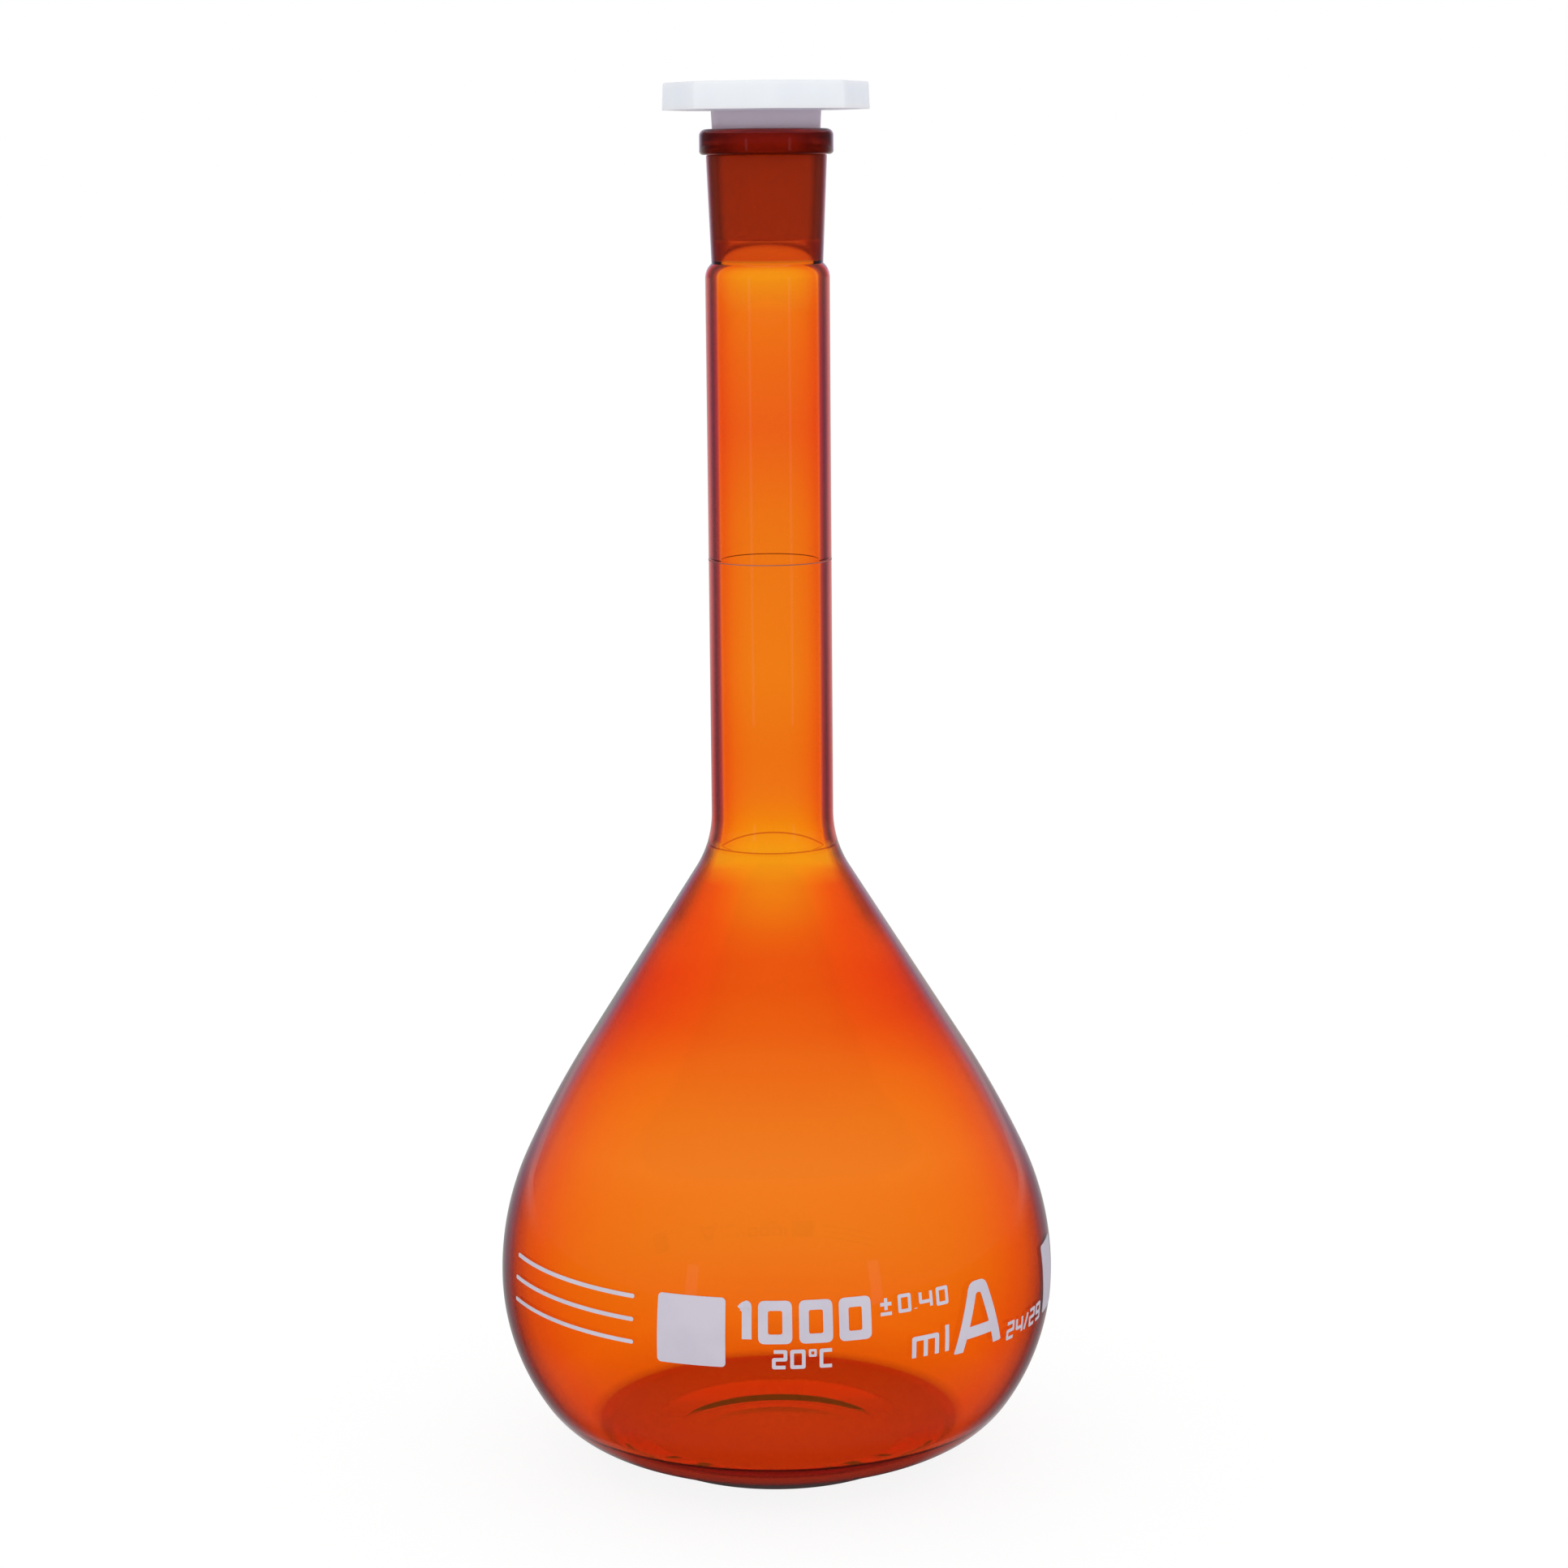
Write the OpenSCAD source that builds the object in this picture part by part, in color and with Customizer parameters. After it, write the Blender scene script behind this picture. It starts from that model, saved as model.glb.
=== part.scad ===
// One litre volumetric flask with a ground 24/29 neck and an octagonal plastic stopper.
// Millimetres, +Z up. The origin is the centre of the ring that the flask stands on.

/* [Bulb] */
// Widest diameter of the bulb, outside
bulb_d = 126.2; // [116:0.1:136]
// Height of the widest circle above the bench
equator_z = 42.4; // [38:0.1:48]
// Wall of the blown bulb
bulb_wall = 1.55; // [1:0.05:2.4]
// Radius of the outline just above the widest circle
belly_r = 65; // [60:0.5:75]
// Part of a turn that this outline takes, in degrees
belly_span = 25; // [20:0.5:28]
// Radius of the flatter outline above it
shoulder_r = 225; // [150:1:280]
// Slope of the cone under the neck, in degrees from upright
cone_angle = 32.3; // [30:0.1:36]
// Radius of the outline just below the widest circle
lower_r = 50.5; // [44:0.5:56]
// Part of a turn that this outline takes, in degrees
lower_span = 34; // [28:0.5:40]
// Radius of the heel that turns under the bulb
heel_r = 23.5; // [18:0.5:28]
// Where the heel ends outside, in degrees below the horizontal
heel_end = 72; // [66:0.5:78]
// Where the heel ends inside, in degrees below the horizontal
floor_start = 84; // [80:0.5:88]

/* [Base] */
// Outer diameter of the ring that the flask stands on
contact_d = 63.2; // [56:0.1:70]
// Width of that ring
contact_w = 2; // [1:0.1:4]
// How far the underside is pushed up in the middle
punt_h = 2.6; // [1:0.1:3.5]
// Glass in the middle of the base
base_wall = 3.4; // [2.4:0.1:5]

/* [Neck] */
// Outer diameter of the neck tube
neck_d = 27.4; // [25:0.1:30]
// Wall of the neck tube
neck_wall = 2.7; // [2:0.1:3]
// Radius where the neck flares into the cone, outside
foot_r = 24; // [18:0.5:30]
// The same radius inside
foot_inner_r = 16; // [12:0.5:20]
// Depth of the neck's weld below the start of the flare
weld_drop = 8.2; // [5:0.1:10]
// Height of the one litre line
ring_z = 205.8; // [180:0.1:240]
// Height of the rim above the bench
rim_z = 300; // [280:0.5:320]

/* [Ground joint] */
// Wide end of the ground cone
joint_d = 24; // [23:0.1:25]
// Length of the ground cone
joint_len = 29; // [27:0.5:32]
// Loss of diameter for each millimetre of length
taper = 0.1; // [0.08:0.01:0.12]
// Outer diameter of the socket under its collar
socket_d = 26.5; // [26.2:0.1:28]
// Outer diameter of the socket at its foot
socket_foot_d = 24.6; // [24.2:0.1:26]
// Radius of the neck's rounded top under the socket
neck_top_r = 4; // [3:0.1:5]
// Length over which the bore opens from the cone to the neck
bore_step = 5; // [3:0.5:8]
// Outer diameter of the collar at the rim
collar_d = 29.4; // [28.4:0.1:31]
// Height of the collar
collar_h = 5.6; // [4:0.1:7]
// Bevel on the collar's lower edge
collar_bevel = 0.9; // [0.4:0.1:1.2]
// Rounding of the collar's upper edge
collar_round = 1.5; // [0.6:0.1:2]

/* [Stopper] */
// Gap between plug and socket, across the wall of the cone
plug_gap = 0.15; // [0.1:0.01:0.25]
// Plug that stays above the rim
plug_out = 3.65; // [3:0.05:6]
// Length of the whole plug
plug_len = 28; // [26:0.5:31]
// Wall of the hollow plug at its foot
plug_wall = 1.6; // [1.2:0.1:2.2]
// Octagonal head, across its corners
head_d = 45.6; // [42:0.1:50]
// Height of the head
head_h = 6.3; // [5:0.1:8]
// Roof over the hollow in the head
roof_h = 2.2; // [1.6:0.1:3]
// Turn of the head's corners, in degrees
head_turn = 2.7; // [0:0.1:45]

/* [Marks] */
// Thickness of the fired enamel
enamel_h = 0.15; // [0.1:0.01:0.3]
// Height of the one litre line itself
ring_w = 0.4; // [0.2:0.05:0.8]
// Side of the square for writing on
panel_w = 15.2; // [12:0.1:18]
// Middle of the square, across from the front
panel_x = -18.7; // [-24:0.1:-16]
// Middle of the square above the widest circle
panel_z = 4.6; // [2:0.1:8]
// Height of the big digits
digit_h = 9.3; // [7:0.1:11]
// Height of the small signs
small_h = 4.2; // [3:0.1:5]
// Height of the class letter
letter_h = 15; // [12:0.5:16]

/* [Hidden] */
$fn = 96;

amber = "#d2551c";
enamel = "#cbc5d5";
plastic = "#ebeef5";

// Steps in degrees along the outline's arcs
fine = 3.4;

// Points on an arc round [cx, cz] from angle a to angle b, measured up from the horizontal
function arc(cx, cz, r, a, b) =
    let (n = ceil(abs(b - a) / fine))
    [for (i = [0:n]) let (t = a + (b - a) * i / n) [cx + r * cos(t), cz + r * sin(t)]];
function reversed(list) = [for (i = [len(list) - 1:-1:0]) list[i]];
function below(list, z) = [for (p = list) if (p.y < z - 0.01) p];
function above(list, z) = [for (p = list) if (p.y > z + 0.01) p];
function radius_at(list, z) = lookup(z, [for (p = list) [p.y, p.x]]);

// Centres of the arcs that make up the bulb's outline, outside and inside alike
belly_c = [bulb_d / 2 - belly_r, equator_z];
shoulder_c = belly_c + (belly_r - shoulder_r) * [cos(belly_span), sin(belly_span)];
lower_c = [bulb_d / 2 - lower_r, equator_z];
heel_c = lower_c + (lower_r - heel_r) * [cos(lower_span), -sin(lower_span)];

// Height where the flare of a neck of radius r starts, for a wall w inside the outline
function flare_top(r, flare, w) =
    let (edge = shoulder_c + (shoulder_r - w) * [cos(cone_angle), sin(cone_angle)],
        touch_r = r + flare * (1 - cos(cone_angle)))
    edge.y + (edge.x - touch_r) / tan(cone_angle) + flare * sin(cone_angle);

// The outline from the heel to the neck, w inside the bulb's outer face
function outline(w, heel, r, flare) = concat(
    arc(heel_c.x, heel_c.y, heel_r - w, -heel, -lower_span),
    arc(lower_c.x, lower_c.y, lower_r - w, -lower_span + fine, 0),
    arc(belly_c.x, belly_c.y, belly_r - w, fine, belly_span),
    arc(shoulder_c.x, shoulder_c.y, shoulder_r - w, belly_span + fine / 2, cone_angle),
    arc(r + flare, flare_top(r, flare, w), flare, 180 + cone_angle, 180));

neck_r = neck_d / 2;
bore_r = neck_r - neck_wall;
outer = outline(0, heel_end, neck_r, foot_r);
inner = outline(bulb_wall, floor_start, bore_r, foot_inner_r);
weld_z = flare_top(neck_r, foot_r, 0) - weld_drop;
contact_r = contact_d / 2;
contact_in = contact_r - contact_w;
// The push-up is a shallow cap of a sphere
punt_r = (contact_in * contact_in + punt_h * punt_h) / (2 * punt_h);
punt_span = asin(contact_in / punt_r);

socket_z = rim_z - joint_len;
cone_r = joint_d / 2;
cone_foot_r = cone_r - joint_len * taper / 2;
collar_z = rim_z - collar_h;
head_z = rim_z + plug_out;
plug_z = head_z - plug_len;
// Radius of the plug at a height z
function plug_r(z) = cone_r - (rim_z - z) * taper / 2 - plug_gap;

bulb_r = bulb_d / 2;
// A digit's width, the step to the next one and its bars, as shares of its height
digit_w = 0.78;
digit_step = 0.94;
thick_bar = 0.23;
thin_bar = 0.18;
// The print is laid out in tenths of a big digit's height
grid = digit_h / 10;

module bulb() {
    color(amber, 0.6)
    rotate_extrude()
    polygon(concat(
        [[contact_in, 0], [contact_r, 0]],
        below(outer, weld_z),
        [[radius_at(outer, weld_z), weld_z], [radius_at(inner, weld_z), weld_z]],
        reversed(below(inner, weld_z)),
        [[0, punt_h + base_wall]],
        arc(0, punt_h - punt_r, punt_r, 90, 90 - punt_span)));
}

module neck_tube() {
    top_c = neck_r - neck_top_r;
    top_turn = acos((socket_foot_d / 2 - top_c) / neck_top_r);
    color(amber, 0.6)
    rotate_extrude()
    polygon(concat(
        [[radius_at(outer, weld_z), weld_z]],
        above(outer, weld_z),
        arc(top_c, socket_z - neck_top_r * sin(top_turn), neck_top_r, 0, top_turn),
        [[cone_foot_r, socket_z], [bore_r, socket_z - bore_step]],
        reversed(above(inner, weld_z)),
        [[radius_at(inner, weld_z), weld_z]]));
}

module joint_socket() {
    color(amber, 0.6)
    rotate_extrude()
    polygon(concat(
        [[cone_foot_r, socket_z],
        [socket_foot_d / 2, socket_z],
        [socket_d / 2, collar_z],
        [collar_d / 2 - collar_bevel, collar_z],
        [collar_d / 2, collar_z + collar_bevel]],
        arc(collar_d / 2 - collar_round, rim_z - collar_round, collar_round, 0, 90),
        [[cone_r, rim_z]]));
}

// Hollow plug under an octagonal head
module stopper() {
    sunk = head_h / 2;
    hollow_top = head_z + head_h - roof_h;
    hollow_r = plug_r(plug_z) - plug_wall;
    color(plastic)
    difference() {
        union() {
            translate([0, 0, plug_z])
            cylinder(h = plug_len + sunk, r1 = plug_r(plug_z), r2 = plug_r(head_z + sunk));
            rotate([0, 0, head_turn])
            translate([0, 0, head_z])
            cylinder(h = head_h, r = head_d / 2, $fn = 8);
        }
        translate([0, 0, plug_z - 1])
        cylinder(h = hollow_top - plug_z + 1, r = hollow_r);
    }
}

module fill_line() {
    color("#7a3226")
    translate([0, 0, ring_z - ring_w / 2])
    difference() {
        cylinder(h = ring_w, r = neck_r + enamel_h);
        translate([0, 0, -1])
        cylinder(h = ring_w + 2, r = neck_r);
    }
}

// Enamel on the bulb from x0 to x1 along its widest circle, counted from the front, and from
// z0 to z1 above that circle. Its back lies on the glass.
module patch(x0, x1, z0, z1) {
    low = equator_z + z0;
    high = equator_z + z1;
    back = concat(
        [[radius_at(outer, low), low]],
        [for (p = outer) if (p.y > low + 0.01 && p.y < high - 0.01) p],
        [[radius_at(outer, high), high]]);
    front = [for (p = reversed(back)) p + [enamel_h, 0]];
    rotate([0, 0, x0 / bulb_r * 180 / PI - 90])
    rotate_extrude(angle = (x1 - x0) / bulb_r * 180 / PI, $fn = 4 * $fn)
    polygon(concat(back, front));
}

// The space that a sign leaves open, cut straight through the skin
module window(x0, x1, z0, z1) {
    rotate([0, 0, x0 / bulb_r * 180 / PI - 90])
    rotate_extrude(angle = (x1 - x0) / bulb_r * 180 / PI)
    translate([bulb_r * 0.8, equator_z + z0])
    square([bulb_r * 0.4, z1 - z0]);
}

// A bar of width w that leans from (x0, z0) to (x1, z1), cut out of the same skin
module slanted(x0, z0, x1, z1, w) {
    turn = (x0 + x1) / 2 / bulb_r * 180 / PI;
    lean = atan2(x1 - x0, z1 - z0);
    intersection() {
        patch(min(x0, x1) - w, max(x0, x1) + w, min(z0, z1), max(z0, z1));
        rotate([0, 0, turn])
        translate([0, -bulb_r, equator_z + (z0 + z1) / 2])
        rotate([0, lean, 0])
        cube([w, bulb_r, 2 * norm([x1 - x0, z1 - z0])], center = true);
    }
}

// Signs are drawn with bars: top, middle, foot, upper left, upper right, lower left, lower right.
// After the ten digits comes the letter A.
BARS = [
    [1, 0, 1, 1, 1, 1, 1],
    [0, 0, 0, 0, 1, 0, 1],
    [1, 1, 1, 0, 1, 1, 0],
    [1, 1, 1, 0, 1, 0, 1],
    [0, 1, 0, 1, 1, 0, 1],
    [1, 1, 1, 1, 0, 0, 1],
    [1, 1, 1, 1, 0, 1, 1],
    [1, 0, 0, 0, 1, 0, 1],
    [1, 1, 1, 1, 1, 1, 1],
    [1, 1, 1, 1, 1, 0, 1],
    [1, 1, 0, 1, 1, 1, 1]
];
module digit(d, x, z, h, share) {
    w = digit_w * h;
    s = share * h;
    on = BARS[d];
    mid = z + (h - s) / 2;
    difference() {
        patch(x, x + w, z, z + h);
        window(
            on[3] ? x + s : x - s,
            on[4] ? x + w - s : x + w + s,
            on[1] ? mid + s : mid,
            on[0] ? z + h - s : z + h + s);
        window(
            on[5] ? x + s : x - s,
            on[6] ? x + w - s : x + w + s,
            on[2] ? z + s : z - s,
            on[1] ? mid : mid + s);
    }
}

module number(digits, x, z, h, share) {
    for (i = [0:len(digits) - 1]) digit(digits[i], x + i * digit_step * h, z, h, share);
}

module writing_panel() {
    color(enamel)
    patch(panel_x - panel_w / 2, panel_x + panel_w / 2, panel_z - panel_w / 2, panel_z + panel_w / 2);
}

// Three plain lines to write on, left of the square
module ruled_lines() {
    line_h = grid;
    line_w = 45 * grid;
    line_step = 5.4 * grid;
    gap = 6.5 * grid;
    right = panel_x - panel_w / 2 - gap;
    color(enamel)
    for (i = [0:2]) patch(right - line_w, right, i * line_step, i * line_step + line_h);
}

// A blank strip on the right-hand side
module side_panel() {
    x = 85.5 * grid;
    z = -6.5 * grid;
    strip_w = 11.8 * grid;
    strip_h = 16.8 * grid;
    color(enamel)
    patch(x, x + strip_w, z, z + strip_h);
}

// The big figure for a thousand millilitres
module capacity_mark() {
    x = -13.5 * grid;
    z = 2.6 * grid;
    color(enamel)
    number([1, 0, 0, 0], x, z, digit_h, thick_bar);
}

// The sign for millilitres
module unit_mark() {
    x = 32.6 * grid;
    z = -4.3 * grid;
    leg = thin_bar * small_h;
    m_w = 7.1 * grid;
    m_h = 5.6 * grid;
    l_h = 7.5 * grid;
    l_gap = 1.9 * grid;
    arch = (m_w - leg) / 2;
    color(enamel) {
        difference() {
            patch(x, x + m_w, z, z + m_h);
            for (i = [0:1]) window(x + leg + i * arch, x + arch + i * arch, z - leg, z + m_h - leg);
        }
        patch(x + m_w + l_gap, x + m_w + l_gap + leg, z, z + l_h);
    }
}

// Plus and minus, then the tolerance in millilitres
module tolerance_mark() {
    x = 24.3 * grid;
    z = 7.4 * grid;
    zero_x = 29.2 * grid;
    point_x = 33.5 * grid;
    four_x = 34.8 * grid;
    s = thin_bar * small_h;
    w = digit_w * small_h;
    color(enamel) {
        patch(x, x + w, z, z + s);
        patch(x, x + w, z + small_h / 2, z + small_h / 2 + s);
        patch(x + (w - s) / 2, x + (w + s) / 2, z + small_h / 4, z + small_h);
        digit(0, zero_x, z, small_h, thin_bar);
        patch(point_x, point_x + s, z, z + s);
        number([4, 0], four_x, z, small_h, thin_bar);
    }
}

// Twenty degrees Celsius
module temperature_mark() {
    x = -1.1 * grid;
    z = -3.4 * grid;
    ring_x = 7.5 * grid;
    c_x = 9.9 * grid;
    s = thin_bar * small_h;
    w = digit_w * small_h;
    color(enamel) {
        number([2, 0], x, z, small_h, thin_bar);
        difference() {
            patch(ring_x, ring_x + 2 * s, z + small_h - 2 * s, z + small_h);
            window(ring_x + s / 2, ring_x + s * 3 / 2, z + small_h - s * 3 / 2, z + small_h - s / 2);
        }
        difference() {
            patch(c_x, c_x + w, z, z + small_h);
            window(c_x + s, c_x + w + s, z + s, z + small_h - s);
        }
    }
}

// The class letter
module class_mark() {
    x = 46.5 * grid;
    z = -5.2 * grid;
    letter = 10;
    color(enamel)
    digit(letter, x, z, letter_h, thin_bar);
}

// The joint's two sizes with a slash between them
module joint_size_mark() {
    x = 63.4 * grid;
    z = -6.5 * grid;
    slash_x = x + 2 * digit_step * small_h;
    slash_w = 1.5 * grid;
    color(enamel) {
        number([2, 4], x, z, small_h, thin_bar);
        slanted(slash_x, z, slash_x + slash_w, z + small_h, thin_bar * small_h);
        number([2, 9], slash_x + slash_w + grid, z, small_h, thin_bar);
    }
}

bulb();
neck_tube();
joint_socket();
stopper();
fill_line();
writing_panel();
ruled_lines();
side_panel();
capacity_mark();
unit_mark();
tolerance_mark();
temperature_mark();
class_mark();
joint_size_mark();
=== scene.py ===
# A one litre amber volumetric flask with a plastic stopper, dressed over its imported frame
import math
import bmesh
import bpy
from mathutils import Matrix, Vector


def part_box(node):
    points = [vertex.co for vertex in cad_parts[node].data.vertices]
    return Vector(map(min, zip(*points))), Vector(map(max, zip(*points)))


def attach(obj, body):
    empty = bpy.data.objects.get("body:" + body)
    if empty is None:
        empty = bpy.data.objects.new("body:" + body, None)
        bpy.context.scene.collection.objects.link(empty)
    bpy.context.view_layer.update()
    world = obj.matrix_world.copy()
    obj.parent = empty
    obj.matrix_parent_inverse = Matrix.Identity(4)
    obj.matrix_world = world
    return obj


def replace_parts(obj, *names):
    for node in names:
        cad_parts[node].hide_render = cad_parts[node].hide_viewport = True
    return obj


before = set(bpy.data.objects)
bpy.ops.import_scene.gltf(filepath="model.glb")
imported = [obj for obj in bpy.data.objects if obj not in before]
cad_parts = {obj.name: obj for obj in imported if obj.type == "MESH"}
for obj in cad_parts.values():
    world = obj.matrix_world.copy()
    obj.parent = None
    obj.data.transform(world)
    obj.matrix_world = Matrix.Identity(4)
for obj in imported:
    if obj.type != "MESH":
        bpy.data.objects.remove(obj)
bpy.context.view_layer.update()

scene = bpy.context.scene
mm = 0.001
weldReach = 0.002 * mm      # vertices closer than this become one
cutReach = 0.001 * mm       # vertices closer than this to a cut lie on it
roundSteps = 192            # facets of the glass round its axis
sharpAngle = math.radians(40)
print("frame loaded:", len(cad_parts), "nodes")

# Small tools


def toLinear(hexColour):
    # a hex colour is sRGB, and the shaders want linear light
    parts = [int(hexColour[i:i + 2], 16) / 255 for i in (1, 3, 5)]
    return (*[p / 12.92 if p <= 0.04045 else ((p + 0.055) / 1.055) ** 2.4 for p in parts], 1.0)


def addNode(tree, kind, inputs=None, **settings):
    node = tree.nodes.new(kind)
    for name, value in settings.items():
        setattr(node, name, value)
    for name, value in (inputs or {}).items():
        if isinstance(value, bpy.types.NodeSocket):
            tree.links.new(value, node.inputs[name])
        else:
            node.inputs[name].default_value = value
    return node


def newMaterial(name):
    material = bpy.data.materials.new(name)
    material.use_nodes = True
    material.node_tree.nodes.clear()
    return material, material.node_tree


def fillRamp(ramp, stops):
    # stops are (place from 0 to 1, hex colour), in rising order
    stops = list(stops)
    while len(ramp.color_ramp.elements) < len(stops):
        ramp.color_ramp.elements.new(0.5)
    for element, (place, colour) in zip(ramp.color_ramp.elements, stops):
        element.position = place
        element.color = toLinear(colour)


def addGrain(tree, look, grain):
    # a fine grain changes both how smooth the surface is and how it lies
    least, most = look["roughSpread"]
    rough = addNode(tree, "ShaderNodeMapRange", {
        "Value": grain.outputs[0],
        "To Min": look["roughness"] + least, "To Max": look["roughness"] + most})
    bump = addNode(tree, "ShaderNodeBump", {
        "Height": grain.outputs[0], "Strength": look["grainStrength"], "Distance": look["grainHeight"]})
    return rough, bump


def newPiece(name, bm, material, slot, body, *nodes):
    mesh = bpy.data.meshes.new(name)
    bm.to_mesh(mesh)
    bm.free()
    mesh.materials.append(material)
    piece = bpy.data.objects.new(name, mesh)
    scene.collection.objects.link(piece)
    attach(piece, body)
    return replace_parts(piece, *nodes)


def lineTo(bm, tip, x, z):
    # draws a straight stretch of a profile in the XZ plane
    made = bmesh.ops.extrude_vert_indiv(bm, verts=[tip])["verts"][0]
    made.co = (x, 0, z)
    return made


def arcTo(bm, tip, centre, degrees, steps):
    # carries the tip round a centre; a positive turn climbs from +X towards +Z
    made = bmesh.ops.spin(bm, geom=[tip], cent=(centre[0], 0, centre[1]), axis=(0, 1, 0),
                          angle=-math.radians(degrees), steps=steps, use_merge=False)
    return [v for v in made["geom_last"] if isinstance(v, bmesh.types.BMVert)][0]


def revolve(bm, steps):
    # turns the whole profile about Z and closes the poles and the seam
    bmesh.ops.spin(bm, geom=bm.verts[:] + bm.edges[:], cent=(0, 0, 0), axis=(0, 0, 1),
                   angle=math.tau, steps=steps, use_merge=True)
    bmesh.ops.remove_doubles(bm, verts=bm.verts[:], dist=weldReach)
    bmesh.ops.recalc_face_normals(bm, faces=bm.faces[:])
    for face in bm.faces:
        face.smooth = True


# Amber borosilicate glass: blown and lamp-worked, so it is glossy and its wall waves a little
amberGlass = {
    "ior": 1.473,
    "sheen": "#ffdcf4",         # amber glass reflects a little violet
    "absorbed": "#ffdca8",      # what the bulk of the glass lets through
    "density": 200,             # per metre
    "clearRoughness": 0.0,
    "groundRoughness": 0.18,    # the cone is ground with fine grit and scatters some light
    "groundClear": 0.65, "groundColour": "#f0e6e6",
    "seamHalf": 0.15 * mm, "paintedSeamShade": "#bc7cbc",     # half the height of the weld's line, and the painted shade along it
    "waveSize": 26 * mm,        # distance between waves in a blown wall
    "waveHeight": 0.03 * mm,
    "tintsAndPaintedLight": [                  # height above the bench in mm, and the tint there: the glass's own amber with painted light and shade in it, such as the lighter yellow at the foot of the neck and the dark red painted shade at the foot of the flask
        (0, "#88042a"), (4.7, "#88042a"), (5.4, "#e88a20"), (12, "#f4a02f"), (30, "#f3ae32"),
        (42, "#f6af39"), (66, "#fabd74"), (78, "#fbc37e"), (88, "#f8b654"), (98, "#f59f3e"),
        (106, "#f59334"), (114, "#f79c2d"), (121, "#f9b03a"), (128, "#fac643"), (134, "#fbd049"),
        (139, "#fbd24c"), (143, "#fbd048"), (147, "#f8c44b"), (153, "#f7b95b"), (162, "#f6b754"),
        (180, "#f7bf59"), (215, "#f6b959"), (235, "#f5a960"), (250, "#f6b15d"), (260, "#f7b95a"),
        (267, "#f9cc51"), (270.5, "#fbdd4f"), (271, "#e03a0c"), (275.8, "#e44012"),
        (276.2, "#ff5e18"), (294, "#ff5a16"), (294.6, "#c42e0a"),
    ],
    # painted shade and painted reflection: how the outer face darkens, mostly towards violet, from face
    # on, at 0, to edge on, at 1:
    # the height in mm where each ramp sets in, half the height over which it does so, and its stops
    "edges": [
        (0, 0, [(0.3, "#ffffff"), (0.36, "#671259"), (0.9, "#58104c")]),
        (12.3, 0.2, [(0.3, "#ffffff"), (0.36, "#200408"), (0.9, "#200408")]),
        (13.2, 0.25, [(0.02, "#ffffff"), (0.06, "#fffcf3"), (0.136, "#fff8cb"), (0.226, "#feeda0"),
                      (0.362, "#fece7c"), (0.5, "#f79989"), (0.585, "#e586b3"), (0.627, "#cb69cb"),
                      (0.676, "#ad50e1"), (0.734, "#6819ff"), (0.81, "#2c00ff")]),
        (102, 6, [(0.05, "#ffffff"), (0.1, "#fef3f9"), (0.15, "#fddaed"), (0.245, "#fcc5e1"),
                  (0.38, "#f7afda"), (0.52, "#dd89da"), (0.6, "#bc65e1"), (0.66, "#953fed"),
                  (0.74, "#3f00ff"), (0.82, "#2700ff")]),
        (123.5, 3.5, [(0.05, "#ffffff"), (0.1, "#fee1e7"), (0.173, "#fcadda"), (0.261, "#fa86cb"),
                      (0.393, "#e773cb"), (0.46, "#c469cb"), (0.53, "#8950da"), (0.62, "#6c30f3"),
                      (0.75, "#3f00ff"), (0.82, "#2700ff")]),
        (136.6, 2.2, [(0.05, "#ffffff"), (0.39, "#fdf3f9"), (0.45, "#e7aae7"), (0.53, "#9550da"),
                      (0.62, "#6c30f3"), (0.75, "#450aff"), (0.82, "#2700ff")]),
        (142, 1.4, [(0.05, "#ffffff"), (0.2, "#ffe0e0"), (0.34, "#f8a0a0"), (0.395, "#f8a0a0"),
                    (0.42, "#b850ff"), (0.45, "#7a27ff"), (0.518, "#3c1dff"), (0.57, "#2c16ff"),
                    (0.627, "#4b19ff"), (0.7, "#8919ff"), (0.8, "#a030ff")]),
        (271, 0.3, [(0.3, "#ffffff"), (0.45, "#ffffff"), (0.55, "#ffe0e8"), (0.65, "#d0a0c8"),
                    (0.8, "#b090c0"), (0.95, "#c0b0e0")]),
        (276.2, 0.2, [(0.3, "#ffffff"), (0.42, "#a0b3bc"), (0.5, "#a4cbf3"), (0.6, "#8995f3"),
                      (0.8, "#cbcbff"), (0.95, "#e7e7ff")]),
        (294.4, 0.2, [(0.05, "#ffffff"), (0.2, "#9c9ca0"), (0.4, "#5c5c68"), (0.9, "#505068")]),
    ],
}


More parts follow.
